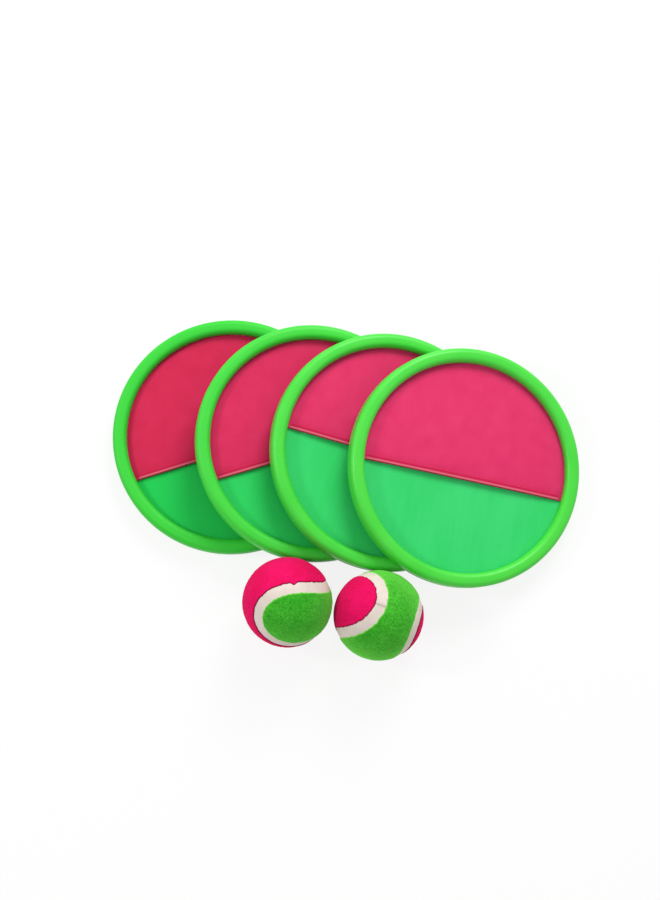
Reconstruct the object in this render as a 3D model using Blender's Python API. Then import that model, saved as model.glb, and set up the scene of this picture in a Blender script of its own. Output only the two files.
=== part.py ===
"""Hook and loop catch set: four round catch paddles with cloth hand pockets, and two fuzzy balls.

The paddles lie in a shingled row. The first lies flat, and each next one has its far edge on the floor and
leans on the one before it. The balls lie on the floor in front. Metres, +Z up, floor at z = 0.
"""

import math

import bmesh
import bpy
import numpy as np
from mathutils import Euler, Matrix, Vector

GAP = 0.0003

# Paddle: two moulded ring halves clamp a backing disc, a hook sheet and a hand pocket.
RIM_RADIUS = 0.093
RIM_WIDTH = 0.011
RIM_HEIGHT = 0.016
RIM_ROUND = 0.0044
SHEET_THICKNESS = 0.001
CATCH_RECESS = 0.005
SHEET_TUCK = 0.005
CLOTH_THICKNESS = 0.0008
RIM_SEGMENTS = 36
ROUND_STEPS = 3

# Hand pocket: flat where the rim clamps it, raised along its free hem.
POCKET_RISE = 0.0064
POCKET_FULLNESS = 0.6
POCKET_FLATTENING = 0.3
RISE_START = 0.0008
HEM_WIDTH = 0.004
HEM_THICKNESS = 0.0018
POCKET_COLUMNS = 10
POCKET_ROWS = 8

# The row: step and heading from each paddle to the next, and each pocket's turn and hem line.
ROW_STEPS = (0.0658, 0.0579, 0.0608)
ROW_HEADINGS = (-7.0, -8.1, -12.0)
HEM_TURNS = (17.6, 18.1, -13.8, -9.4)
HEM_PAST_CENTRE = (0.0115, 0.006, 0.0035, 0.0095)

# Balls: two dumbbell panels and a band along the seam between them, over a core.
BALL_RADIUS = 0.0345
PANEL_THICKNESS = 0.0015
BAND_WIDTH = 0.0084
SEAM_STATIONS = 40
PANEL_ACROSS = 8
CORE_GAP = 0.0006
CORE_SEGMENTS = 20
CORE_RINGS = 12
# Place along the row, from the first paddle's centre, and turn about X, Y and Z.
BALL_PLACES = (0.0452, 0.1149)
BALL_TURNS = ((68.0, -11.0, -81.0), (-152.0, -13.0, 112.0))

RIM_INNER = RIM_RADIUS - RIM_WIDTH
SHEET_RADIUS = RIM_INNER + SHEET_TUCK
CLOTH_RADIUS = SHEET_RADIUS * math.cos(math.pi / RIM_SEGMENTS)
HOOK_LOW = CATCH_RECESS - RIM_HEIGHT / 2
HOOK_TOP = HOOK_LOW + SHEET_THICKNESS
BACKING_LOW = HOOK_TOP + GAP
BACKING_TOP = BACKING_LOW + SHEET_THICKNESS
CLOTH_LOW = BACKING_TOP + GAP
POCKET_LAND = CLOTH_LOW + CLOTH_THICKNESS + GAP
CATCH_LAND = HOOK_LOW - GAP
# The rounding is no deeper than the catch half's inner wall and no wider than half the rim.
EDGE_ROUND = min(RIM_ROUND, CATCH_RECESS - 2 * GAP, RIM_WIDTH / 2)


def clear_scene():
    for obj in list(bpy.data.objects):
        bpy.data.objects.remove(obj, do_unlink=True)


def material(name, rgb, roughness, sheen=0.0):
    """A plain material of this sRGB colour."""
    linear = [(v / 255 / 12.92) if v < 11 else ((v / 255 + 0.055) / 1.055) ** 2.4 for v in rgb]
    made = bpy.data.materials.new(name)
    made.use_nodes = True
    shader = made.node_tree.nodes["Principled BSDF"]
    shader.inputs["Base Color"].default_value = (*linear, 1.0)
    shader.inputs["Roughness"].default_value = roughness
    shader.inputs["Sheen Weight"].default_value = sheen
    return made


def add_mesh(name, points, faces, surface, place):
    """One object from points and faces, closed, facing out, and smooth but for its sharp edges."""
    mesh = bpy.data.meshes.new(name)
    mesh.from_pydata([tuple(p) for p in points], [], [tuple(f) for f in faces])
    shape = bmesh.new()
    shape.from_mesh(mesh)
    bmesh.ops.remove_doubles(shape, verts=shape.verts, dist=1e-6)
    bmesh.ops.recalc_face_normals(shape, faces=shape.faces)
    shape.to_mesh(mesh)
    shape.free()
    mesh.shade_smooth()
    mesh.set_sharp_from_angle(angle=math.radians(40))
    mesh.materials.append(surface)
    obj = bpy.data.objects.new(name, mesh)
    obj.matrix_world = place
    bpy.context.scene.collection.objects.link(obj)
    return obj


def grid_faces(rows, columns, start, closed=False):
    """Quads over rows of points that are numbered from start. The last row joins the first if closed."""
    faces = []
    for i in range(rows if closed else rows - 1):
        low, high = start + i * columns, start + (i + 1) % rows * columns
        faces += [(low + j, low + j + 1, high + j + 1, high + j) for j in range(columns - 1)]
    return faces


def slab(upper, lower):
    """Points and faces of the closed body between two grids of points of the same shape."""
    rows, columns = upper.shape[:2]
    count = rows * columns
    border = [(0, j) for j in range(columns)] + [(i, columns - 1) for i in range(1, rows)]
    border += [(rows - 1, j) for j in range(columns - 2, -1, -1)] + [(i, 0) for i in range(rows - 2, 0, -1)]
    loop = [i * columns + j for i, j in border]
    walls = [(a, b, b + count, a + count) for a, b in zip(loop, loop[1:] + loop[:1])]
    points = np.concatenate([upper.reshape(-1, 3), lower.reshape(-1, 3)])
    return points, grid_faces(rows, columns, 0) + grid_faces(rows, columns, count) + walls


def loft(sections):
    """Points and faces of a tube through closed sections, the last joined to the first."""
    rows, columns = sections.shape[:2]
    around = np.concatenate([sections, sections[:, :1]], axis=1)
    return around.reshape(-1, 3), grid_faces(rows, columns + 1, 0, closed=True)


def circle_points(radius, z, segments=RIM_SEGMENTS):
    angles = np.arange(segments) * 2 * np.pi / segments
    return np.stack([radius * np.cos(angles), radius * np.sin(angles), np.full(segments, z)], axis=1)


def ring_half(crown, land, skirt=0.0):
    """A rounded ring half. Its land clamps the sheets, and its skirt goes on past them to the other half."""
    side = 1 if crown > land else -1
    turns = np.linspace(0, np.pi / 2, ROUND_STEPS + 1)
    insets = EDGE_ROUND * (1 - np.cos(turns))
    heights = crown - side * EDGE_ROUND * (1 - np.sin(turns))
    section = [(RIM_INNER, land), *zip(RIM_INNER + insets, heights)]
    section += [*zip(RIM_RADIUS - insets[::-1], heights[::-1]), (RIM_RADIUS, land - side * skirt)]
    if skirt:
        seat = SHEET_RADIUS + GAP
        section += [(seat, land - side * skirt), (seat, land)]
    around = np.stack([circle_points(radius, z) for radius, z in section], axis=1)
    return loft(around)


def disc(low, high):
    bottom, top = circle_points(SHEET_RADIUS, low), circle_points(SHEET_RADIUS, high)
    count = len(bottom)
    walls = [(i, (i + 1) % count, (i + 1) % count + count, i + count) for i in range(count)]
    return np.concatenate([bottom, top]), walls + [tuple(range(count)), tuple(range(count, 2 * count))]


def pocket_rise(x, y, hem):
    """Height of the cloth above its clamped edge. It is none at the rim and most along the hem."""
    reach = RIM_INNER - RISE_START
    inside = max(0.0, 1 - (x * x + y * y) / reach**2)
    depth = (y - hem) / (reach - hem)
    return POCKET_RISE * inside**POCKET_FULLNESS * (1 - POCKET_FLATTENING * depth)


def hand_pocket(past_centre):
    """The pocket cloth, as rows along the hem. Its free edge is a thicker folded hem."""
    hem = -past_centre
    reach = RIM_INNER - RISE_START
    edge = CLOTH_THICKNESS / 2
    fold = HEM_THICKNESS / 2
    top = CLOTH_RADIUS * 0.994
    rows = [(hem, edge), (hem + edge, fold), (hem + HEM_WIDTH - edge, fold), (hem + HEM_WIDTH, edge)]
    rows += [(y, edge) for y in np.linspace(hem + HEM_WIDTH, reach * 0.97, POCKET_ROWS - 1)[1:]]
    rows += [(reach, edge), (top, edge)]
    across = np.sin(np.linspace(-1, 1, POCKET_COLUMNS + 1) * np.pi / 2)
    upper, lower = [], []
    for y, half in rows:
        outer = math.sqrt(CLOTH_RADIUS**2 - y * y)
        inner = outer * 0.9 if y >= reach else math.sqrt(reach**2 - y * y)
        xs = [-outer, *(inner * across), outer]
        halves = [edge, edge, *([half] * (POCKET_COLUMNS - 1)), edge, edge]
        middle = [CLOTH_LOW + edge + pocket_rise(x, y, hem) for x in xs]
        upper.append([(x, y, z + h) for x, z, h in zip(xs, middle, halves)])
        lower.append([(x, y, z - h) for x, z, h in zip(xs, middle, halves)])
    return slab(np.array(upper), np.array(lower))


def rim_distance(points):
    """Distance of points in a paddle's own frame from its rim and its sheets, negative inside them."""
    radius = np.hypot(points[:, 0], points[:, 1])
    half = np.array([RIM_WIDTH / 2 - EDGE_ROUND, RIM_HEIGHT / 2 - EDGE_ROUND])
    off = np.abs(np.stack([radius - RIM_RADIUS + RIM_WIDTH / 2, points[:, 2]], axis=1)) - half
    rim = np.hypot(*np.maximum(off, 0).T) + np.minimum(off.max(axis=1), 0) - EDGE_ROUND
    sheets = np.maximum(np.maximum(HOOK_LOW - points[:, 2], points[:, 2] - BACKING_TOP), radius - RIM_INNER)
    return np.minimum(rim, sheets)


def own_frame(place, points):
    inverse = np.array(place.inverted())
    return points @ inverse[:3, :3].T + inverse[:3, 3]


def rim_points(place):
    """Points over the crown of a paddle's pocket side, in the room."""
    turns = np.linspace(0, np.pi, 13)
    middle = RIM_RADIUS - RIM_WIDTH / 2
    side = np.sign(np.cos(turns).round(6)) * (RIM_WIDTH / 2 - EDGE_ROUND)
    radii = middle + side + EDGE_ROUND * np.cos(turns)
    heights = RIM_HEIGHT / 2 - EDGE_ROUND * (1 - np.sin(turns))
    points = np.concatenate([circle_points(r, z, 240) for r, z in zip(radii, heights)])
    room = np.array(place)
    return points @ room[:3, :3].T + room[:3, 3]


def leaning(x, y, heading, lean):
    """The place of a paddle that leans up towards where it came from, its far edge on the floor."""
    axis = Vector((-math.sin(heading), math.cos(heading), 0))
    reach = (RIM_RADIUS - EDGE_ROUND) * math.sin(lean)
    z = reach + (RIM_HEIGHT / 2 - EDGE_ROUND) * math.cos(lean) + EDGE_ROUND
    return Matrix.Translation((x, y, z)) @ Matrix.Rotation(lean, 4, axis)


def resting_lean(below, x, y, heading):
    """The least lean, by halving, at which a paddle clears the one below it by the gap."""
    points = rim_points(below)
    low, high = 0.0, math.radians(40)
    for _ in range(40):
        middle = (low + high) / 2
        own = own_frame(leaning(x, y, heading, middle), points)
        under = own[np.hypot(own[:, 0], own[:, 1]) < RIM_RADIUS]
        if rim_distance(own).min() >= GAP and under[:, 2].max() < HOOK_LOW:
            high = middle
        else:
            low = middle
    return high


def row_places():
    places = [Matrix.Translation((0, 0, RIM_HEIGHT / 2))]
    x = y = 0.0
    for step, heading in zip(ROW_STEPS, map(math.radians, ROW_HEADINGS)):
        x, y = x + step * math.cos(heading), y + step * math.sin(heading)
        places.append(leaning(x, y, heading, resting_lean(places[-1], x, y, heading)))
    return places


def ball_centre(x, places, others):
    """The centre nearest the row, at this x and on the floor, that clears the rims and the other balls."""
    near, far = -RIM_RADIUS, -3 * RIM_RADIUS
    for _ in range(40):
        y = (near + far) / 2
        centre = Vector((x, y, BALL_RADIUS))
        point = np.array([centre])
        clear = [rim_distance(own_frame(place, point)).min() - BALL_RADIUS for place in places]
        clear += [(centre - other).length - 2 * BALL_RADIUS for other in others]
        if min(clear) >= GAP:
            far = y
        else:
            near = y
    return Vector((x, far, BALL_RADIUS))


def seam_point(turn):
    """A point of the seam on a unit ball: one closed wave round it, as on a tennis ball."""
    x = 0.75 * np.cos(turn) + 0.25 * np.cos(3 * turn)
    y = 0.75 * np.sin(turn) - 0.25 * np.sin(3 * turn)
    return np.array([x, y, math.sqrt(3) / 2 * np.sin(2 * turn)])


def beside_seam(turn, distance):
    """A point of the unit ball at this distance from the seam, positive on the +Z panel's side."""
    along = seam_point(turn + 1e-4) - seam_point(turn - 1e-4)
    here = seam_point(turn)
    across = np.cross(here, along / np.linalg.norm(along))
    angle = distance / BALL_RADIUS
    return math.cos(angle) * here + math.sin(angle) * across


def arc(start, end, steps):
    """Points of the great circle from one unit vector to another."""
    angle = math.acos(min(1.0, max(-1.0, float(start @ end))))
    if angle < 1e-6:
        return [start] * (steps + 1)
    shares = np.linspace(0, 1, steps + 1)
    mixed = [math.sin((1 - s) * angle) * start + math.sin(s * angle) * end for s in shares]
    return [point / math.sin(angle) for point in mixed]


def ball_panel(side):
    """A dumbbell panel, of arcs across it from seam to seam. Side is 1 for the +Z panel, else -1."""
    offset = side * (BAND_WIDTH / 2 + GAP)
    start = -side * math.pi / 4
    ribs = []
    for k in range(SEAM_STATIONS // 2 + 1):
        turn = start + k * 2 * math.pi / SEAM_STATIONS
        ends = beside_seam(turn, offset), beside_seam(2 * start - turn, offset)
        ribs.append(arc(*ends, PANEL_ACROSS))
    ribs = np.array(ribs)
    return slab(ribs * BALL_RADIUS, ribs * (BALL_RADIUS - PANEL_THICKNESS))


def ball_band():
    half, low = BAND_WIDTH / 2, 1 - PANEL_THICKNESS / BALL_RADIUS
    sections = []
    for k in range(SEAM_STATIONS):
        turn = math.pi / 4 + k * 2 * math.pi / SEAM_STATIONS
        left, middle, right = (beside_seam(turn, offset) for offset in (-half, 0, half))
        sections.append([left, middle, right, right * low, middle * low, left * low])
    return loft(np.array(sections) * BALL_RADIUS)


def ball_core():
    radius = BALL_RADIUS - PANEL_THICKNESS - CORE_GAP
    turns = np.arange(1, CORE_RINGS) * np.pi / CORE_RINGS
    levels = [circle_points(radius * math.sin(t), radius * math.cos(t), CORE_SEGMENTS) for t in turns]
    points = np.concatenate(levels + [[(0, 0, radius), (0, 0, -radius)]])
    rings = np.concatenate([np.array(levels), np.array(levels)[:, :1]], axis=1)
    faces = []
    for i in range(len(levels)):
        for j in range(CORE_SEGMENTS):
            here, after = i * CORE_SEGMENTS + j, i * CORE_SEGMENTS + (j + 1) % CORE_SEGMENTS
            if i == 0:
                faces.append((len(points) - 2, here, after))
            if i + 1 < len(levels):
                faces.append((here, after, after + CORE_SEGMENTS, here + CORE_SEGMENTS))
            else:
                faces.append((here, after, len(points) - 1))
    return points, faces


clear_scene()

lime_plastic = material("lime_plastic", (84, 214, 78), 0.35)
teal_backing = material("teal_backing", (60, 216, 120), 0.6)
teal_hooks = material("teal_hooks", (48, 200, 112), 0.6)
pink_cloth = material("pink_cloth", (228, 56, 112), 0.8, 0.2)
core_foam = material("core_foam", (225, 222, 210), 0.8)
pink_felt = material("pink_felt", (240, 24, 98), 0.95, 0.5)
green_felt = material("green_felt", (62, 182, 48), 0.95, 0.5)
white_band = material("white_band", (228, 220, 210), 0.9, 0.3)

paddles = row_places()
made = []
for number, (place, turn, past) in enumerate(zip(paddles, HEM_TURNS, HEM_PAST_CENTRE), start=1):
    turned = place @ Matrix.Rotation(math.radians(turn), 4, "Z")
    crown = RIM_HEIGHT / 2
    for piece, shape, surface in (
        ("pocket_ring", ring_half(crown, POCKET_LAND, POCKET_LAND - CATCH_LAND - GAP), lime_plastic),
        ("catch_ring", ring_half(-crown, CATCH_LAND), lime_plastic),
        ("backing_disc", disc(BACKING_LOW, BACKING_TOP), teal_backing),
        ("hook_sheet", disc(HOOK_LOW, HOOK_TOP), teal_hooks),
        ("hand_pocket", hand_pocket(past), pink_cloth),
    ):
        made.append(add_mesh(f"paddle_{number}_{piece}", *shape, surface, turned))

balls = []
for number, (x, turns) in enumerate(zip(BALL_PLACES, BALL_TURNS), start=1):
    balls.append(ball_centre(x, paddles, balls))
    place = Matrix.Translation(balls[-1]) @ Euler(map(math.radians, turns)).to_matrix().to_4x4()
    for piece, shape, surface in (
        ("core", ball_core(), core_foam),
        ("pink_panel", ball_panel(1), pink_felt),
        ("green_panel", ball_panel(-1), green_felt),
        ("seam_band", ball_band(), white_band),
    ):
        made.append(add_mesh(f"ball_{number}_{piece}", *shape, surface, place))

# The origin is under the middle of the set.
corners = np.concatenate([[obj.matrix_world @ v.co for v in obj.data.vertices] for obj in made])
middle = (corners.min(axis=0) + corners.max(axis=0)) / 2
for obj in made:
    obj.matrix_world = Matrix.Translation((-middle[0], -middle[1], 0)) @ obj.matrix_world
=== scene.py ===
"""Looks of the hook and loop catch set: four round paddles with cloth hand pockets, and two fuzzy balls.

Each paddle and ball is built in its own frame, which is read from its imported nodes. Metres, +Z up, and
the floor is at z = 0.
"""

import math

import bpy
import numpy as np
from mathutils import Matrix, Vector, noise


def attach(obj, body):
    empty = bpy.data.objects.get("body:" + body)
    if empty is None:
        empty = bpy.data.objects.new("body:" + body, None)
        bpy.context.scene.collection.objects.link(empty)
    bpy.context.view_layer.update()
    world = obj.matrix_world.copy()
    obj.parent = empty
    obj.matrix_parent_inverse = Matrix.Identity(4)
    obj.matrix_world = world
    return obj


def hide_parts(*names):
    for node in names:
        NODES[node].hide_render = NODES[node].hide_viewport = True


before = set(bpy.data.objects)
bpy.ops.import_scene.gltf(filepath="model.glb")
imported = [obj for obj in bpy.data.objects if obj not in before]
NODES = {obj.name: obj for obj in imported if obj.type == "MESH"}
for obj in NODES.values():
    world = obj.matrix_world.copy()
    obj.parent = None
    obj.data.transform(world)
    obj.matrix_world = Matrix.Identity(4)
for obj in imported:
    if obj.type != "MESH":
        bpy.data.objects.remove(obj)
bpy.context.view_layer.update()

# The paddle's section, as in the model's own source.
RIM_RADIUS = 0.093
RIM_INNER = 0.082
RIM_HEIGHT = 0.016
RIM_ROUND = 0.0044
GAP = 0.0003
SHEET_THICKNESS = 0.001
SHEET_RADIUS = 0.087
CLOTH_RADIUS = 0.0866
HOOK_LOW = 0.005 - RIM_HEIGHT / 2
BACKING_LOW = HOOK_LOW + SHEET_THICKNESS + GAP
BACKING_TOP = BACKING_LOW + SHEET_THICKNESS
CLOTH_LOW = BACKING_TOP + GAP
CLOTH_THICKNESS = 0.0008
POCKET_LAND = CLOTH_LOW + CLOTH_THICKNESS + GAP
CATCH_LAND = HOOK_LOW - GAP
PARTING_BEVEL = 0.00025
RIM_STEPS = 160
ROUND_STEPS = 9

# The round sheets: the height of the backing's ripple, its waves a metre along X and Y, and how far in
# from the rim it reaches its height. The sheet's own height picks its stretch of the noise.
BACKING_RIPPLE = 0.00012
RIPPLES = (35, 18)
RIPPLE_FADE = 0.012
RIPPLE_SHIFT = 900
DISC_STEPS = 96
DISC_RINGS = 28

# The pocket cloth and its folded hem. The cloth hangs a little lower than its solid, as when no hand is
# in it. Places in the hem are measured from its outer edge, where a dark line painted along the fold
# stands for the shadow under it, and the rows of points crowd towards that edge.
POCKET_RISE = 0.0038
POCKET_FULLNESS = 0.6
POCKET_FLATTENING = 0.3
HEM_DIP = 0.42
HEM_DIP_REACH = 0.018
RISE_START = 0.0008
RISE_FADE = 0.0025
CLOTH_COLUMNS = 140
HEM_ROWS = 24
HEM_CROWDING = 1.3
CLOTH_ROWS = 66
CLOTH_CROWDING = 1.15
ROW_GAP = 0.0006
CLOTH_FILL = 0.996
HEM_FOLD = 0.0009
HEM_WIDTH = 0.0042
HEM_STEP = 0.00015
GROOVE_AT = 0.0033
GROOVE_WIDTH = 0.0014
GROOVE_DEPTH = 0.0003
GROOVE_BELOW = 0.4
FOLD_HIGHLIGHT_AT = 0.0014
FOLD_HIGHLIGHT_WIDTH = 0.0007
HEM_SHADOW_WIDTH = 0.00084
GROOVE_SHADE_SPREAD_WIDTH = 0.0045

# How much of its colour each painted mark on the hem takes: the pale fold, a painted highlight; the
# groove, painted shade; and the painted shade spread round the groove.
FOLD_HIGHLIGHT_SHARE = 0.72
GROOVE_SHADE_SHARE = 0.95
GROOVE_SHADE_SPREAD_SHARE = 0.3

# The cloth's wrinkles: their height, and their waves a metre along X and Y.
WRINKLE = 0.00018
WRINKLES = (42, 60)

# The hem's stitches. A stitch's middle stands out of the cloth and its ends dive in, in thread radii.
STITCH_PITCH = 0.0034
STITCH_LENGTH = 0.0024
STITCH_RADIUS = 0.00016
STITCH_MARGIN = 0.003
STITCH_SEAT = HEM_FOLD * 0.62 - GROOVE_DEPTH
STITCH_STANDS = 1.1
STITCH_DIVES = 1.5

# The hook sheet's field of hooks, and each section of a hook: how far it leans and how far it stands
# out, both in hook heights, and its width in hook thicknesses.
HOOK_PITCH = 0.003
HOOK_HEIGHT = 0.0014
HOOK_THICKNESS = 0.0004
HOOK_MARGIN = 0.0015
HOOK_SUNK = 0.00005
HOOK_SECTIONS = ((0.0, 0.0, 1.4), (0.0, 0.62, 1.0), (0.35, 0.95, 0.9), (0.85, 0.8, 0.6))

# The balls' felt panels and seam bands.
BALL_RADIUS = 0.0345
PANEL_THICKNESS = 0.0015
PANEL_STEPS = 200
PANEL_ACROSS = 70
PANEL_TIP = 0.0004
SEAM_SAMPLES = 720
BAND_WIDTH = 0.0084
BAND_SUNK = 0.0005
BAND_TUCK = 0.0009
BAND_STEPS = 320
BAND_ACROSS = 9
JOINT_WIDTH = 0.0006
JOINT_DEPTH = 0.0003
JOINT_SHARE = 0.6

# The felt's edge: how wide it is rounded and how far it drops, as a share of that, its tinted line, which
# on the pink felt is a painted shadow where the edge drops to the band and on the green a lighter line,
# how far it wanders in wide bends and fine nicks, and its tooth over the band.
EDGE_ROUND = 0.0008
EDGE_DROP = 0.6
EDGE_LINE = 0.0008
EDGE_WANDER = 0.0005
EDGE_BENDS = 12
EDGE_NICKS = 31
NICK_SHARE = 0.9
TOOTH = 0.0022
TOOTH_WIDTH = 0.001

# The felt's nap: how high its lumps and tufts are, and how far in from the edge they have their full
# height. They, the bends and the nicks are counted in waves to a ball's radius.
FELT_LUMP = 0.00018
FELT_LUMPS = 11
FELT_TUFT = 0.00007
FELT_TUFTS = 48
FELT_FADE = 0.001

# What sets the wrinkles of one paddle, and the nap of one ball, apart from those of the next.
CLOTH_SEED = 3.7
FELT_SEED = 5.3

# Where along its seam each ball's band is joined, and where its pink edge has a tooth, in radians.
BAND_JOINTS = (0.9, 2.33)
EDGE_TEETH = (4.615, 1.2)

# How far each paddle's rim and cloths are darkened towards their deep colours, from 0 to 1: painted shade,
# most on the first paddle and none on the last.
PAINTED_SHADES = (1.0, 0.6, 0.15, 0.0)

# The camera, at the photograph's viewing angle, and the photograph's frame in pixels.
CAMERA_ELEVATION = math.radians(80)
CAMERA_TARGET = Vector((-0.0122, 0.0306, 0.015))
CAMERA_DISTANCE = 1.665
FRAME_HEIGHT_PX = 900
FOCAL_PX = 2125
SENSOR = 36.0

# The studio: the sky's strength, and each lamp's name, place, width and power.
SKY = 0.54
LAMPS = (("key", (0.48, 1.33, 1.16), 0.9, 22), ("fill", (-1.2, 0.1, 1.1), 0.3, 7))

# The floor, a hair below the object, and how much of its white the camera sees over its shadows.
FLOOR_REACH = 12.0
FLOOR_DROP = 0.0001
FLOOR_LIFT = 0.86


def linear(*rgb):
    """A linear colour from sRGB values of 0 to 255."""
    return (*(((v / 255 + 0.055) / 1.055) ** 2.4 if v > 10 else v / 255 / 12.92 for v in rgb), 1.0)


def node(tree, kind, values=None, **settings):
    """A shader node, with its settings, and its inputs set to values or linked to sockets."""
    made = tree.nodes.new(kind)
    for key, value in settings.items():
        setattr(made, key, value)
    for key, value in (values or {}).items():
        if isinstance(value, bpy.types.NodeSocket):
            tree.links.new(value, made.inputs[key])
        else:
            made.inputs[key].default_value = value
    return made


def new_material(name, **constants):
    """A material, its tree and its shader. Constants are set on the shader's own sockets."""
    made = bpy.data.materials.new(name)
    made.use_nodes = True
    tree = made.node_tree
    shader = tree.nodes["Principled BSDF"]
    for key, value in constants.items():
        shader.inputs[key.replace("_", " ").title().replace("Ior", "IOR")].default_value = value
    return made, tree, shader


def own_place(tree):
    """The shaded point in the frame of its paddle or ball."""
    return node(tree, "ShaderNodeAttribute", attribute_name="own").outputs["Vector"]


def noise_value(tree, scale, detail=2.0, stretch=(1, 1, 1), roughness=0.5):
    """A noise from 0 to 1 in the piece's own frame, of this many cells a metre."""
    where = own_place(tree)
    stretched = node(tree, "ShaderNodeMapping", {"Vector": where, "Scale": stretch}).outputs[0]
    values = {"Vector": stretched, "Scale": scale, "Detail": detail, "Roughness": roughness}
    return node(tree, "ShaderNodeTexNoise", values).outputs[0]


def threads(tree, pitch, along):
    """Parallel threads of this pitch in metres, from 0 to 1, across the piece's X or Y."""
    where = own_place(tree)
    # One unit of the wave texture's scale is 20 radians a metre.
    scale = 2 * math.pi / pitch / 20
    settings = {"wave_type": "BANDS", "bands_direction": along, "wave_profile": "SIN"}
    values = {"Vector": where, "Scale": scale, "Distortion": 0.6, "Detail": 1.0}
    return node(tree, "ShaderNodeTexWave", values, **settings).outputs[1]


def weave(tree, pitch):
    """Crossed threads of this pitch, from 0 to 1."""
    return maths(tree, "MULTIPLY", threads(tree, pitch, "X"), threads(tree, pitch, "Y"))


def ranged(tree, value, low, high, start=0.0, end=1.0):
    """A value of start to end brought to low to high, and held there past them."""
    values = {"Value": value, "From Min": start, "From Max": end, "To Min": low, "To Max": high}
    return node(tree, "ShaderNodeMapRange", values).outputs[0]


def spread(tree, value, start=0.3, end=0.7):
    """The middle stretch of a noise brought to 0 to 1, so that its patches show."""
    return ranged(tree, value, 0.0, 1.0, start, end)


def share_of(tree, name):
    """A share that the mesh's points carry."""
    return node(tree, "ShaderNodeAttribute", attribute_name=name).outputs["Fac"]


def maths(tree, operation, a, b):
    return node(tree, "ShaderNodeMath", {0: a, 1: b}, operation=operation).outputs[0]


def blended(tree, share, a, b):
    """A colour from a, where share is 0, to b, where it is 1."""
    mixed = node(tree, "ShaderNodeMix", {0: share, 6: a, 7: b}, data_type="RGBA")
    return mixed.outputs[2]


def bumped(tree, shader, height, distance, strength=1.0):
    values = {"Height": height, "Distance": distance, "Strength": strength}
    tree.links.new(node(tree, "ShaderNodeBump", values).outputs[0], shader.inputs["Normal"])


def rim_plastic():
    """Lime moulded plastic with a satin skin, faint flow clouds and fine rubs."""
    made, tree, shader = new_material("rim_plastic", specular_ior_level=0.36)
    clouds = noise_value(tree, 26, detail=3)
    rubs = noise_value(tree, 260, detail=4, stretch=(1, 1, 5))
    colour = blended(tree, spread(tree, clouds), linear(64, 210, 56), linear(78, 218, 68))
    # Painted shade: the rim darkens towards a deeper green, and grows duller, on the paddles that carry
    # more of it.
    dye = maths(tree, "MULTIPLY", share_of(tree, "dye"), 0.7)
    shade_painted = blended(tree, dye, colour, linear(34, 200, 46))
    tree.links.new(shade_painted, shader.inputs["Base Color"])
    dull = maths(tree, "MULTIPLY", dye, 0.22)
    tree.links.new(maths(tree, "ADD", ranged(tree, rubs, 0.32, 0.48), dull), shader.inputs["Roughness"])
    bumped(tree, shader, noise_value(tree, 900), 0.00002, 0.5)
    return made


def pocket_cloth():
    """Pink brushed cloth: a fine weave and faint mottling, with a painted highlight on the pale fold
    between groove and edge, painted shade in and round the groove, a painted shadow line at the hem's outer
    edge, and painted shade that darkens the first paddles' cloth.
    """
    made, tree, shader = new_material("pocket_cloth", sheen_weight=0.2, sheen_roughness=0.4)
    shader.inputs["Specular IOR Level"].default_value = 0.2
    shader.inputs["Sheen Tint"].default_value = linear(255, 170, 195)
    mottle = noise_value(tree, 75, detail=4)
    grain = noise_value(tree, 1300, stretch=(1, 0.35, 1))
    patches = spread(tree, mottle)
    base = blended(tree, patches, linear(225, 48, 103), linear(232, 59, 111))
    # Painted shade: the cloth darkens towards its deeper pink on the paddles that carry it.
    deep = blended(tree, patches, linear(206, 33, 74), linear(214, 42, 84))
    shade_painted = blended(tree, share_of(tree, "dye"), base, deep)
    shaded = blended(tree, ranged(tree, grain, 0.0, 0.3), shade_painted, linear(190, 30, 80))
    # Painted shade in and round the stitch groove.
    groove_shaded = blended(tree, share_of(tree, "groove"), shaded, linear(190, 18, 66))
    # Painted highlight along the pale fold.
    fold_highlighted = blended(tree, share_of(tree, "fold"), groove_shaded, linear(214, 124, 132))
    # Painted shadow: a dark line along the hem's outer edge.
    colour = blended(tree, share_of(tree, "under"), fold_highlighted, linear(146, 26, 52))
    tree.links.new(colour, shader.inputs["Base Color"])
    tree.links.new(ranged(tree, mottle, 0.72, 0.92), shader.inputs["Roughness"])
    bumped(tree, shader, maths(tree, "ADD", weave(tree, 0.0008), grain), 0.00008, 0.6)
    return made


def teal_cloth(name, light, dark, deep, pitch):
    """Teal-green laminated cloth with a fine rib and faint streaks along it."""
    made, tree, shader = new_material(name, specular_ior_level=0.18)
    clouds = noise_value(tree, 34, detail=3, stretch=(1, 0.45, 1))
    streaks = noise_value(tree, 190, detail=3, stretch=(1, 0.12, 1))
    grain = noise_value(tree, 1100)
    uneven = maths(tree, "ADD", maths(tree, "MULTIPLY", clouds, 0.7), maths(tree, "MULTIPLY", streaks, 0.3))
    base = blended(tree, spread(tree, uneven, 0.35, 0.65), dark, light)
    # Painted shade: the cloth darkens towards its third colour on the paddles that carry it.
    shade_painted = blended(tree, share_of(tree, "dye"), base, deep)
    shaded = blended(tree, ranged(tree, grain, 0.0, 0.18), shade_painted, linear(20, 160, 70))
    tree.links.new(shaded, shader.inputs["Base Color"])
    tree.links.new(ranged(tree, clouds, 0.45, 0.62), shader.inputs["Roughness"])
    bumped(tree, shader, weave(tree, pitch), 0.00006, 0.5)
    return made


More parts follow.
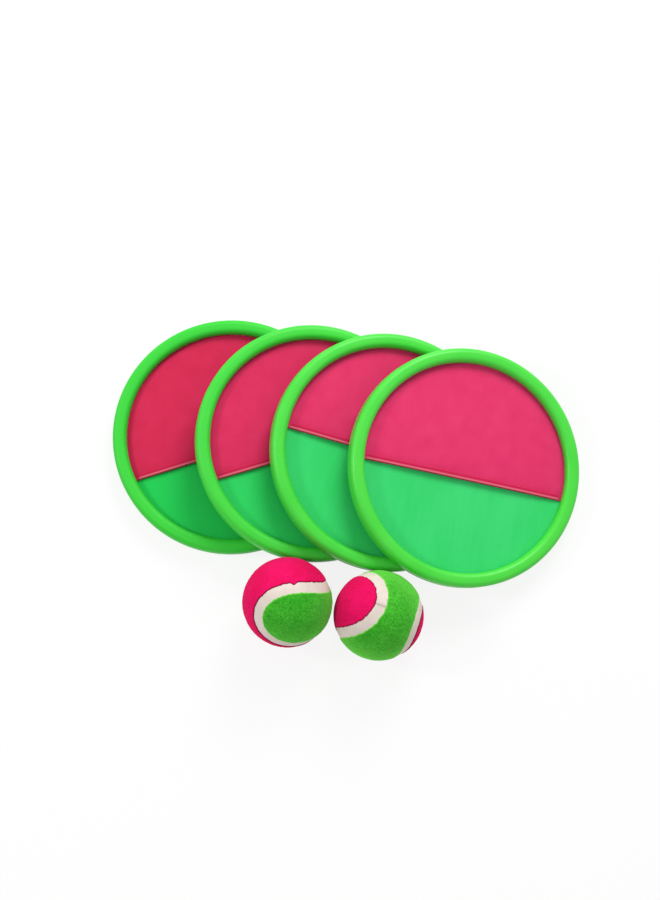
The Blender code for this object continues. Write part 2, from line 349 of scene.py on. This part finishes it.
def felt(name, light, mid, dark, edge, nap, grainy, sheen):
    """Brushed felt: a nap that catches the light through the shader's sheen and a painted sheen towards the
    outline, painted shade in the pits between its tufts, and a tinted cut edge.
    """
    made, tree, shader = new_material(name, sheen_weight=sheen, sheen_roughness=0.35)
    shader.inputs["Specular IOR Level"].default_value = 0.1
    shader.inputs["Sheen Tint"].default_value = nap
    shader.inputs["Roughness"].default_value = 0.95
    fibres = noise_value(tree, 1000, detail=3, stretch=(1, 1, 0.5), roughness=0.7)
    tufts = noise_value(tree, 620, detail=3, roughness=0.7)
    # Painted shade: darker where the tufts' bump is low, in the pits between them.
    pits = ranged(tree, tufts, 0.8 * grainy, 0.0, 0.36, 0.6)
    lit = blended(tree, spread(tree, noise_value(tree, 60)), mid, light)
    pit_shaded = blended(tree, pits, lit, dark)
    # Painted sheen: the colour turns towards the nap colour where the surface faces away from the view.
    facing = node(tree, "ShaderNodeLayerWeight", {"Blend": 0.5}).outputs["Facing"]
    brushed = blended(tree, ranged(tree, facing, 0.0, 0.6 * sheen, 0.1, 0.8), pit_shaded, nap)
    # The tinted cut edge: a painted shadow on the pink felt, where its edge drops to the band, and a
    # lighter line on the green.
    colour = blended(tree, share_of(tree, "edge"), brushed, edge)
    tree.links.new(colour, shader.inputs["Base Color"])
    bumped(tree, shader, maths(tree, "ADD", fibres, tufts), 0.0004, 0.8 * grainy)
    return made


def band_cloth():
    """The off-white seam band: flat tape with a faint nap."""
    made, tree, shader = new_material("band_cloth", specular_ior_level=0.2, roughness=0.85)
    nap = noise_value(tree, 700, detail=3, roughness=0.6)
    patches = spread(tree, noise_value(tree, 90))
    base = blended(tree, patches, linear(220, 208, 197), linear(233, 218, 210))
    worn = blended(tree, ranged(tree, nap, -0.1, 0.25), base, linear(196, 184, 168))
    joined = blended(tree, share_of(tree, "joint"), worn, linear(150, 136, 120))
    tree.links.new(joined, shader.inputs["Base Color"])
    bumped(tree, shader, nap, 0.00015, 0.7)
    return made


def core_foam():
    """The balls' hidden cores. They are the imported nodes, so their grain is in object coordinates."""
    made, tree, shader = new_material("core_foam", roughness=0.8)
    where = node(tree, "ShaderNodeTexCoord").outputs["Object"]
    cells = node(tree, "ShaderNodeTexNoise", {"Vector": where, "Scale": 500.0}).outputs[0]
    colour = blended(tree, cells, linear(215, 210, 196), linear(236, 232, 220))
    tree.links.new(colour, shader.inputs["Base Color"])
    bumped(tree, shader, cells, 0.0002)
    return made


def seen_rays(tree):
    """One for the rays that show the background, and nought for those that light the object."""
    rays = node(tree, "ShaderNodeLightPath").outputs
    seen = maths(tree, "MAXIMUM", rays["Is Camera Ray"], rays["Is Glossy Ray"])
    return maths(tree, "MAXIMUM", seen, rays["Is Transmission Ray"])


def floor_white():
    """A white floor that keeps the shadows, faintly for the camera."""
    made, tree, shader = new_material("floor_white", roughness=0.9, specular_ior_level=0.0)
    shader.inputs["Base Color"].default_value = (0.94, 0.94, 0.94, 1)
    share = maths(tree, "MULTIPLY", seen_rays(tree), FLOOR_LIFT)
    glow = node(tree, "ShaderNodeEmission", {"Color": (1, 1, 1, 1), "Strength": 1.0})
    lifted = node(tree, "ShaderNodeMixShader", {0: share, 1: shader.outputs[0], 2: glow.outputs[0]})
    output = tree.nodes["Material Output"]
    tree.links.new(lifted.outputs[0], output.inputs["Surface"])
    return made


def new_piece(name, points, faces, surface, place, slot, replaced=(), attributes=None):
    """A smooth mesh piece in place on the root body. Its materials read its points in its own frame."""
    mesh = bpy.data.meshes.new(name)
    turn = np.array(place)
    room = points @ turn[:3, :3].T + turn[:3, 3]
    mesh.from_pydata(room.tolist(), [], [tuple(f) for f in faces])
    mesh.attributes.new("own", "FLOAT_VECTOR", "POINT").data.foreach_set("vector", points.ravel())
    for key, values in (attributes or {}).items():
        mesh.attributes.new(key, "FLOAT", "POINT").data.foreach_set("value", values)
    mesh.shade_smooth()
    mesh.set_sharp_from_angle(angle=math.radians(50))
    mesh.materials.append(surface)
    obj = bpy.data.objects.new(name, mesh)
    bpy.context.scene.collection.objects.link(obj)
    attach(obj, "root")
    if replaced:
        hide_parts(*replaced)
    return obj


def grid_quads(rows, columns, wrap_rows=False, wrap_columns=False):
    """Quads over a grid of points in rows."""
    i = np.arange(rows if wrap_rows else rows - 1)[:, None]
    j = np.arange(columns if wrap_columns else columns - 1)[None, :]
    after_i, after_j = (i + 1) % rows, (j + 1) % columns
    corners = (i * columns + j, i * columns + after_j, after_i * columns + after_j, after_i * columns + j)
    return np.stack([c.reshape(-1) for c in corners], axis=1)


def shell(upper, lower):
    """Points and quads of the closed body between two grids of points."""
    rows, columns = upper.shape[:2]
    count = rows * columns
    index = np.arange(count).reshape(rows, columns)
    loop = np.concatenate([index[0], index[1:, -1], index[-1, -2::-1], index[-2:0:-1, 0]])
    after = np.roll(loop, -1)
    walls = np.stack([loop, loop + count, after + count, after], axis=1)
    top = grid_quads(rows, columns)
    points = np.concatenate([upper.reshape(-1, 3), lower.reshape(-1, 3)])
    return points, np.concatenate([top, top[:, ::-1] + count, walls])


def bell(x, width):
    """One at x = 0, and next to none past twice the width."""
    return np.exp(-((x / width) ** 2))


def full_turn(steps):
    """The angles of a full turn in so many steps, the last one short of the first."""
    return np.arange(steps) * 2 * np.pi / steps


def lathe(section):
    """A ring from a closed section of (radius, height) points."""
    section = np.array(section)
    radius, height = section[None, :, 0], section[None, :, 1]
    spin = full_turn(RIM_STEPS)[:, None]
    grid = np.stack([radius * np.cos(spin), radius * np.sin(spin), height + 0 * spin], axis=2)
    return grid.reshape(-1, 3), grid_quads(RIM_STEPS, len(section), True, True)


def own_points(name):
    """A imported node's distinct points."""
    mesh = NODES[name].data
    flat = np.zeros(len(mesh.vertices) * 3)
    mesh.vertices.foreach_get("co", flat)
    return np.unique(flat.reshape(-1, 3).round(6), axis=0)


def axes_place(x, y, z, origin):
    """The frame with these axes and this origin."""
    place = Matrix((x, y, z)).transposed().to_4x4()
    place.translation = origin
    return place


def paddle_place(number):
    """The paddle's own frame: Z out of its pocket side, Y from the hem into the pocket, origin mid-rim."""
    disc = own_points(f"paddle_{number}_backing_disc")
    middle = disc.mean(axis=0)
    normal = np.linalg.svd(disc - middle)[2][2]
    normal *= np.sign(normal[2])
    inwards = own_points(f"paddle_{number}_hand_pocket").mean(axis=0) - middle
    inwards -= normal * (inwards @ normal)
    inwards /= np.linalg.norm(inwards)
    origin = middle - normal * (BACKING_LOW + BACKING_TOP) / 2
    return axes_place(np.cross(inwards, normal), inwards, normal, origin)


def hem_line(number, place):
    """Where the hem lies on the paddle's own Y."""
    points = own_points(f"paddle_{number}_hand_pocket")
    inverse = np.array(place.inverted())
    return float((points @ inverse[1, :3] + inverse[1, 3]).min())


def ball_place(number):
    """The ball's own frame: Z through the pink panel's waist, and its lobes along X = -Y."""
    core = own_points(f"ball_{number}_core")
    middle = (core.min(axis=0) + core.max(axis=0)) / 2
    panel = own_points(f"ball_{number}_pink_panel") - middle
    waist = panel.mean(axis=0)
    waist /= np.linalg.norm(waist)
    flat = panel - np.outer(panel @ waist, waist)
    lobe = np.linalg.svd(flat)[2][0]
    side = np.cross(waist, lobe)
    x = (lobe + side) / math.sqrt(2)
    return axes_place(x, np.cross(waist, x), waist, middle)


def ring_section(crown, land, skirt=0.0):
    """A ring half's section, with a fine bevel at its edges and a skirt past the sheets."""
    side = 1 if crown > land else -1
    turns = np.linspace(0, np.pi / 2, ROUND_STEPS + 1)
    shoulder = crown - side * RIM_ROUND
    inwards, upwards = RIM_ROUND * (1 - np.cos(turns)), side * RIM_ROUND * np.sin(turns)
    inner = [(RIM_INNER + r, shoulder + z) for r, z in zip(inwards, upwards)]
    outer = [(RIM_INNER + RIM_RADIUS - r, z) for r, z in inner[::-1]]
    bevel = side * PARTING_BEVEL
    foot = land - side * skirt
    section = [(RIM_INNER + PARTING_BEVEL, land), (RIM_INNER, land + bevel)] + inner + outer
    section += [(RIM_RADIUS, foot + bevel), (RIM_RADIUS - PARTING_BEVEL, foot)]
    if skirt:
        section += [(SHEET_RADIUS + GAP, foot), (SHEET_RADIUS + GAP, land)]
    # The catch side's section runs the other way round, so that both face out.
    return section[:: -side]


def disc_grid(low, high, ripple):
    """A round sheet between two heights, with a slight ripple that fades towards the rim."""
    radii = SHEET_RADIUS * np.sqrt(np.linspace(0, 1, DISC_RINGS + 1)[1:])
    radius = np.concatenate([radii, radii[::-1]])
    height = np.concatenate([np.full(DISC_RINGS, high), np.full(DISC_RINGS, low)])
    fade = np.clip((RIM_INNER - radius) / RIPPLE_FADE, 0, 1)
    points = []
    for turn in full_turn(DISC_STEPS):
        x, y = radius * math.cos(turn), radius * math.sin(turn)
        wave = waves(x, y, RIPPLES, high * RIPPLE_SHIFT)
        points.append(np.stack([x, y, height + ripple * fade * wave], axis=1))
    points = np.concatenate(points)
    columns = len(radius)
    quads = grid_quads(DISC_STEPS, columns, True, False)
    centres = np.array([(0, 0, high), (0, 0, low)])
    top, bottom = len(points), len(points) + 1
    here = np.arange(DISC_STEPS) * columns
    after = np.roll(here, -1)
    cap = np.stack([np.full(DISC_STEPS, top), here, after], axis=1)
    base = np.stack([np.full(DISC_STEPS, bottom), after + columns - 1, here + columns - 1], axis=1)
    return np.concatenate([points, centres]), quads[:, ::-1].tolist() + cap.tolist() + base.tolist()


def waves(x, y, pitches, seed):
    """A noise over x and y, with so many waves a metre along each."""
    spots = zip((x * pitches[0]).ravel(), (y * pitches[1]).ravel())
    return np.array([noise.noise(Vector((a, b, seed))) for a, b in spots]).reshape(x.shape)


def pocket_rise(x, y, hem):
    """Height of the cloth above its clamped edge: none at the rim, most a little behind the taut hem."""
    reach = RIM_INNER - RISE_START
    inside = np.maximum(0.0, 1 - (x * x + y * y) / reach**2)
    depth = (y - hem) / (reach - hem)
    slack = 1 - HEM_DIP * bell(y - hem, HEM_DIP_REACH)
    return POCKET_RISE * inside**POCKET_FULLNESS * (1 - POCKET_FLATTENING * depth) * slack


def pocket_grids(hem, seed):
    """Upper and lower points of the pocket cloth, and how much each takes of the painted highlight on the
    fold, the painted shadow line at the outer edge and the painted shade of the groove.
    """
    folded = hem + np.linspace(0, 1, HEM_ROWS) ** HEM_CROWDING * HEM_WIDTH
    past = hem + HEM_WIDTH + ROW_GAP
    share = np.linspace(0, 1, CLOTH_ROWS) ** CLOTH_CROWDING
    deep = past + (CLOTH_RADIUS * CLOTH_FILL - past) * share
    y = np.concatenate([folded, deep])[:, None]
    across = np.sin(np.linspace(-1, 1, CLOTH_COLUMNS) * np.pi / 2)[None, :]
    x = np.sqrt(CLOTH_RADIUS**2 - y * y) * across
    y = y + 0 * x
    radius = np.hypot(x, y)
    inner = np.clip((RIM_INNER - RISE_START - radius) / RISE_FADE, 0, 1)
    wrinkles = WRINKLE * waves(x, y, WRINKLES, seed) * inner
    middle = CLOTH_LOW + CLOTH_THICKNESS / 2 + pocket_rise(x, y, hem) + wrinkles
    off = y - hem
    flat = CLOTH_THICKNESS / 2
    rounding = np.sqrt(np.clip(1 - (1 - np.clip(off / HEM_FOLD, 0, 1)) ** 2, 0.02, 1))
    tail = 1 / (1 + np.exp((off - HEM_WIDTH) / HEM_STEP))
    half = flat + (HEM_FOLD - flat) * tail * inner
    half = np.where(off < HEM_FOLD, half * rounding, half)
    groove = bell(off - GROOVE_AT, GROOVE_WIDTH) * inner
    upper = middle + half - GROOVE_DEPTH * groove
    lower = middle - half + GROOVE_DEPTH * GROOVE_BELOW * groove
    # How far the groove's painted shade spreads round it.
    groove_shade_spread = bell(off - GROOVE_AT, GROOVE_SHADE_SPREAD_WIDTH)
    # Where the fold takes its painted highlight.
    fold = bell(off - FOLD_HIGHLIGHT_AT, FOLD_HIGHLIGHT_WIDTH) * inner
    # Where the painted shadow line lies along the hem's outer edge, on both faces of the cloth.
    under = bell(off, HEM_SHADOW_WIDTH) * inner
    attributes = {
        "fold": np.tile(FOLD_HIGHLIGHT_SHARE * fold.reshape(-1), 2),
        "under": np.tile(under.reshape(-1), 2),
        "groove": np.tile(np.maximum(GROOVE_SHADE_SHARE * groove, GROOVE_SHADE_SPREAD_SHARE * groove_shade_spread).reshape(-1), 2),
    }
    return np.stack([x, y, upper], axis=2), np.stack([x, y, lower], axis=2), attributes


def stitching(hem):
    """Short runs of thread in the hem's groove, as rounded beads that follow the cloth."""
    y = hem + GROOVE_AT
    reach = math.sqrt((RIM_INNER - RISE_START) ** 2 - y * y) - STITCH_MARGIN
    count = int(2 * reach / STITCH_PITCH)
    starts = (np.arange(count) - (count - 1) / 2) * STITCH_PITCH
    sides, rings = 8, 6
    turns = full_turn(sides)
    points, faces = [], []
    bead = grid_quads(rings, sides, False, True)
    # An eight-sided end in three quads.
    caps = np.array([[0, 1, 2, 3], [0, 3, 4, 7], [4, 5, 6, 7]])
    caps = np.concatenate([caps[:, ::-1], caps + (rings - 1) * sides])
    for start in starts:
        base = len(points)
        for s in np.linspace(-1, 1, rings):
            x = start + s * STITCH_LENGTH / 2
            z = CLOTH_LOW + CLOTH_THICKNESS / 2 + float(pocket_rise(x, y, hem))
            z += STITCH_SEAT + STITCH_RADIUS * (STITCH_STANDS - STITCH_DIVES * s**4)
            r = STITCH_RADIUS * math.sqrt(max(0.12, 1 - s**6))
            points += [(x, y + r * math.cos(t), z + r * math.sin(t)) for t in turns]
        faces += (bead + base).tolist() + (caps + base).tolist()
    return np.array(points), np.array(faces)


def hook_field():
    """The catch face's small bent hooks, in staggered rows, pointing out of the paddle's back."""
    row_pitch = HOOK_PITCH * math.sqrt(3) / 2
    reach = RIM_INNER - HOOK_MARGIN
    rows = int(reach / row_pitch)
    points, faces = [], []
    side = HOOK_THICKNESS / 2
    quads = grid_quads(len(HOOK_SECTIONS), 4, False, True)
    tip = (len(HOOK_SECTIONS) - 1) * 4
    quads = np.concatenate([quads, [[tip, tip + 1, tip + 2, tip + 3]]])
    corners = ((-1, -1), (1, -1), (1, 1), (-1, 1))
    for row in range(-rows, rows + 1):
        y = row * row_pitch
        width = math.sqrt(reach * reach - y * y)
        shift = HOOK_PITCH / 2 * (row % 2)
        lean = 1 if row % 2 else -1
        for step in range(-int(width / HOOK_PITCH), int(width / HOOK_PITCH) + 1):
            x = step * HOOK_PITCH + shift
            if x * x + y * y > reach * reach:
                continue
            base = len(points)
            for slide, out, size in HOOK_SECTIONS:
                z = HOOK_LOW - out * HOOK_HEIGHT + HOOK_SUNK
                centre = x + lean * slide * HOOK_HEIGHT
                points += [(centre + a * side * size, y + b * side * size, z) for a, b in corners]
            faces.append(quads + base)
    return np.array(points), np.concatenate(faces)


def seam_point(turn):
    """Points of the seam on a unit ball: one closed wave round it, as on a tennis ball."""
    x = 0.75 * np.cos(turn) + 0.25 * np.cos(3 * turn)
    y = 0.75 * np.sin(turn) - 0.25 * np.sin(3 * turn)
    return np.stack([x, y, math.sqrt(3) / 2 * np.sin(2 * turn)], axis=-1)


def beside_seam(turn, distance):
    """Points of the unit ball at this distance from the seam, positive on the +Z panel's side."""
    step = 1e-4
    along = seam_point(turn + step) - seam_point(turn - step)
    along /= np.linalg.norm(along, axis=-1, keepdims=True)
    here = seam_point(turn)
    angle = np.asarray(distance / BALL_RADIUS)[..., None]
    return np.cos(angle) * here + np.sin(angle) * np.cross(here, along)


def arcs(start, end, shares):
    """Points along the great circles from start to end, a row for each pair."""
    angle = np.arccos(np.clip((start * end).sum(axis=1), -1, 1))[:, None, None]
    angle = np.maximum(angle, 1e-5)
    share = shares[None, :, None]
    mixed = np.sin((1 - share) * angle) * start[:, None] + np.sin(share * angle) * end[:, None]
    return mixed / np.linalg.norm(mixed, axis=2, keepdims=True)


def edge_stray(turns, seed, tooth):
    """How far a panel's ragged edge strays from the band along the seam, with a tooth over the band."""
    shift = Vector((seed, 0, 0))
    spots = [Vector(p) for p in seam_point(turns)]
    bends = np.array([noise.noise(p * EDGE_BENDS + shift) for p in spots])
    nicks = np.array([noise.noise(p * EDGE_NICKS + shift) for p in spots])
    stray = EDGE_WANDER * (bends + NICK_SHARE * nicks)
    if tooth is None:
        return stray
    off = (turns - tooth + math.pi) % (2 * math.pi) - math.pi
    return stray - TOOTH * bell(off * BALL_RADIUS, TOOTH_WIDTH)


def felt_panel(side, seed, tooth):
    """A dumbbell felt panel with a rolled, ragged edge and a lumpy nap."""
    first = -side * math.pi / 4
    turns = first + np.linspace(PANEL_TIP, 1 - PANEL_TIP, PANEL_STEPS) * math.pi
    other = 2 * first - turns
    near = side * (BAND_WIDTH / 2 + edge_stray(turns, seed, tooth))
    far = side * (BAND_WIDTH / 2 + edge_stray(other, seed, tooth))
    shares = (1 - np.cos(np.linspace(0, 1, PANEL_ACROSS) * np.pi)) / 2
    unit = arcs(beside_seam(turns, near), beside_seam(other, far), shares)
    # How far each point is from the panel's edge.
    samples = full_turn(SEAM_SAMPLES)
    seam, stray = seam_point(samples), edge_stray(samples, seed, tooth)
    flat = unit.reshape(-1, 3)
    inset = []
    for part in np.array_split(flat, 8):
        close = part @ seam.T
        away = np.arccos(np.clip(close.max(axis=1), -1, 1)) * BALL_RADIUS
        inset.append(away - BAND_WIDTH / 2 - stray[close.argmax(axis=1)])
    inset = np.concatenate(inset)
    drop = np.clip(1 - inset / EDGE_ROUND, 0, 1) ** 2 * EDGE_ROUND * EDGE_DROP
    shift = Vector((0, seed, 0))
    lumps = np.array([noise.fractal(Vector(p) * FELT_LUMPS + shift, 1.0, 2.0, 3) for p in flat])
    tufts = np.array([noise.noise(Vector(p) * FELT_TUFTS + shift) for p in flat])
    inwards = np.clip(inset / FELT_FADE, 0, 1)
    radius = BALL_RADIUS - drop + (FELT_LUMP * lumps + FELT_TUFT * tufts) * inwards
    upper = (flat * radius[:, None]).reshape(unit.shape)
    attributes = {"edge": np.tile(bell(np.maximum(inset, 0), EDGE_LINE), 2)}
    return *shell(upper, unit * (BALL_RADIUS - PANEL_THICKNESS)), attributes


def seam_band(joint_turn):
    """The flat tape along the seam, tucked under the felts, with the joint where its ends meet."""
    turns = full_turn(BAND_STEPS)
    half = BAND_WIDTH / 2 + BAND_TUCK
    across = np.linspace(-half, half, BAND_ACROSS)
    joint = bell((turns - joint_turn) * BALL_RADIUS, JOINT_WIDTH)
    top = (BALL_RADIUS - BAND_SUNK - JOINT_DEPTH * joint)[:, None]
    low = BALL_RADIUS - PANEL_THICKNESS
    lines = [beside_seam(turns, np.full(BAND_STEPS, a)) * top for a in across]
    lines += [beside_seam(turns, np.full(BAND_STEPS, a)) * low for a in across[::-2]]
    grid = np.stack(lines, axis=1)
    attributes = {"joint": np.repeat(JOINT_SHARE * joint, grid.shape[1])}
    return grid.reshape(-1, 3), grid_quads(grid.shape[0], grid.shape[1], True, True), attributes


def add_paddle(number, surfaces):
    """One paddle's seven pieces."""
    place = paddle_place(number)
    hem = hem_line(number, place)
    name = f"paddle_{number}_"
    crown = RIM_HEIGHT / 2
    front = lathe(ring_section(crown, POCKET_LAND, POCKET_LAND - CATCH_LAND - GAP))
    back = lathe(ring_section(-crown, CATCH_LAND))
    # How much painted shade this paddle's rim, backing and pocket cloth carry.
    dye = PAINTED_SHADES[number - 1]
    for part, (points, faces) in (("pocket", front), ("catch", back)):
        new_piece(f"{name}{part}_rim", points, faces, surfaces["rim"], place, "rim", [f"{name}{part}_ring"],
                  {"dye": np.full(len(points), dye)})
    backing = disc_grid(BACKING_LOW, BACKING_TOP, BACKING_RIPPLE)
    hook_base = disc_grid(HOOK_LOW, HOOK_LOW + SHEET_THICKNESS, 0.0)
    new_piece(name + "backing", *backing, surfaces["backing"], place, "backing", [name + "backing_disc"],
              {"dye": np.full(len(backing[0]), dye)})
    new_piece(name + "hook_base", *hook_base, surfaces["hooks"], place, "hook_sheet", [name + "hook_sheet"])
    new_piece(name + "hooks", *hook_field(), surfaces["hooks"], place, "hook_sheet")
    upper, lower, attributes = pocket_grids(hem, number * CLOTH_SEED)
    points, faces = shell(upper, lower)
    attributes["dye"] = np.full(len(points), dye)
    cloth = new_piece(name + "pocket_cloth", points, faces, surfaces["pocket"], place, "pocket_cloth",
                      [name + "hand_pocket"], attributes)
    thread = new_piece(name + "hem_stitches", *stitching(hem), surfaces["thread"], place, "pocket_cloth")


def add_ball(number, surfaces):
    """One ball's two felts and band, and its core's material."""
    place = ball_place(number)
    name = f"ball_{number}_"
    for colour, side, tooth in (("pink", 1, EDGE_TEETH[number - 1]), ("green", -1, None)):
        points, faces, attributes = felt_panel(side, number * FELT_SEED + side, tooth)
        new_piece(f"{name}{colour}_felt", points, faces, surfaces[colour], place, f"{colour}_felt",
                  [f"{name}{colour}_panel"], attributes)
    points, faces, attributes = seam_band(BAND_JOINTS[number - 1])
    new_piece(name + "band", points, faces, surfaces["band"], place, "seam_band",
              [name + "seam_band"], attributes)
    core = NODES[name + "core"].data.materials
    core.clear()
    core.append(surfaces["core"])


def pointed(obj, place, target):
    """A camera or lamp put in its place, looking at its target."""
    obj.location = place
    obj.rotation_euler = (Vector(target) - Vector(place)).to_track_quat("-Z", "Y").to_euler()
    bpy.context.scene.collection.objects.link(obj)
    return obj


def add_light(name, place, size, power):
    lamp = bpy.data.lights.new(name, "AREA")
    lamp.shape = "DISK"
    lamp.size = size
    lamp.energy = power
    return pointed(bpy.data.objects.new(name, lamp), place, (0, 0, 0))


def add_camera():
    lens = bpy.data.cameras.new("camera")
    lens.sensor_width = SENSOR
    lens.lens = FOCAL_PX * SENSOR / FRAME_HEIGHT_PX
    lens.clip_end = 40
    back = Vector((0, -math.cos(CAMERA_ELEVATION), math.sin(CAMERA_ELEVATION)))
    place = CAMERA_TARGET + back * CAMERA_DISTANCE
    bpy.context.scene.camera = pointed(bpy.data.objects.new("camera", lens), place, CAMERA_TARGET)


def add_world(strength):
    """A sky that lights the object this strongly, and that is plain white where it is seen."""
    world = bpy.data.worlds.new("studio")
    world.use_nodes = True
    tree = world.node_tree
    sky = tree.nodes["Background"]
    tree.links.new(ranged(tree, seen_rays(tree), strength, 1.0), sky.inputs["Strength"])
    sky.inputs["Color"].default_value = (1, 1, 1, 1)
    bpy.context.scene.world = world


def add_floor():
    side, low = FLOOR_REACH, -FLOOR_DROP
    points = [(-side, -side, low), (side, -side, low), (side, side, low), (-side, side, low)]
    mesh = bpy.data.meshes.new("floor")
    mesh.from_pydata(points, [], [(0, 1, 2, 3)])
    mesh.materials.append(floor_white())
    floor = bpy.data.objects.new("floor", mesh)
    bpy.context.scene.collection.objects.link(floor)


surfaces = {
    "rim": rim_plastic(),
    # The third colour of each teal cloth is its painted shade.
    "backing": teal_cloth("backing_cloth", linear(62, 218, 120), linear(50, 210, 106),
                          linear(24, 202, 82), 0.0012),
    "hooks": teal_cloth("hook_tape", linear(52, 208, 110), linear(42, 196, 98),
                        linear(34, 190, 84), 0.0026),
    "pocket": pocket_cloth(),
    # Each felt's third colour is its painted shade in the pits, its fourth its cut-edge line, painted
    # shadow on the pink, and its fifth the tint of its sheen, the shader's own and the painted one.
    "thread": felt("pink_thread", linear(236, 60, 112), linear(224, 40, 96), linear(180, 16, 60),
                   linear(180, 16, 60), linear(240, 130, 160), 0.4, 0.2),
    "pink": felt("pink_felt", linear(238, 18, 104), linear(224, 8, 84), linear(176, 2, 52),
                 linear(110, 0, 36), linear(246, 40, 110), 0.4, 0.12),
    "green": felt("green_felt", linear(80, 198, 54), linear(58, 178, 40), linear(26, 124, 22),
                  linear(120, 210, 76), linear(118, 222, 84), 0.85, 1.0),
    "band": band_cloth(),
    "core": core_foam(),
}
for number in (1, 2, 3, 4):
    add_paddle(number, surfaces)
for number in (1, 2):
    add_ball(number, surfaces)

add_floor()
add_world(SKY)
for lamp in LAMPS:
    add_light(*lamp)
add_camera()
bpy.context.scene.view_settings.view_transform = "Standard"
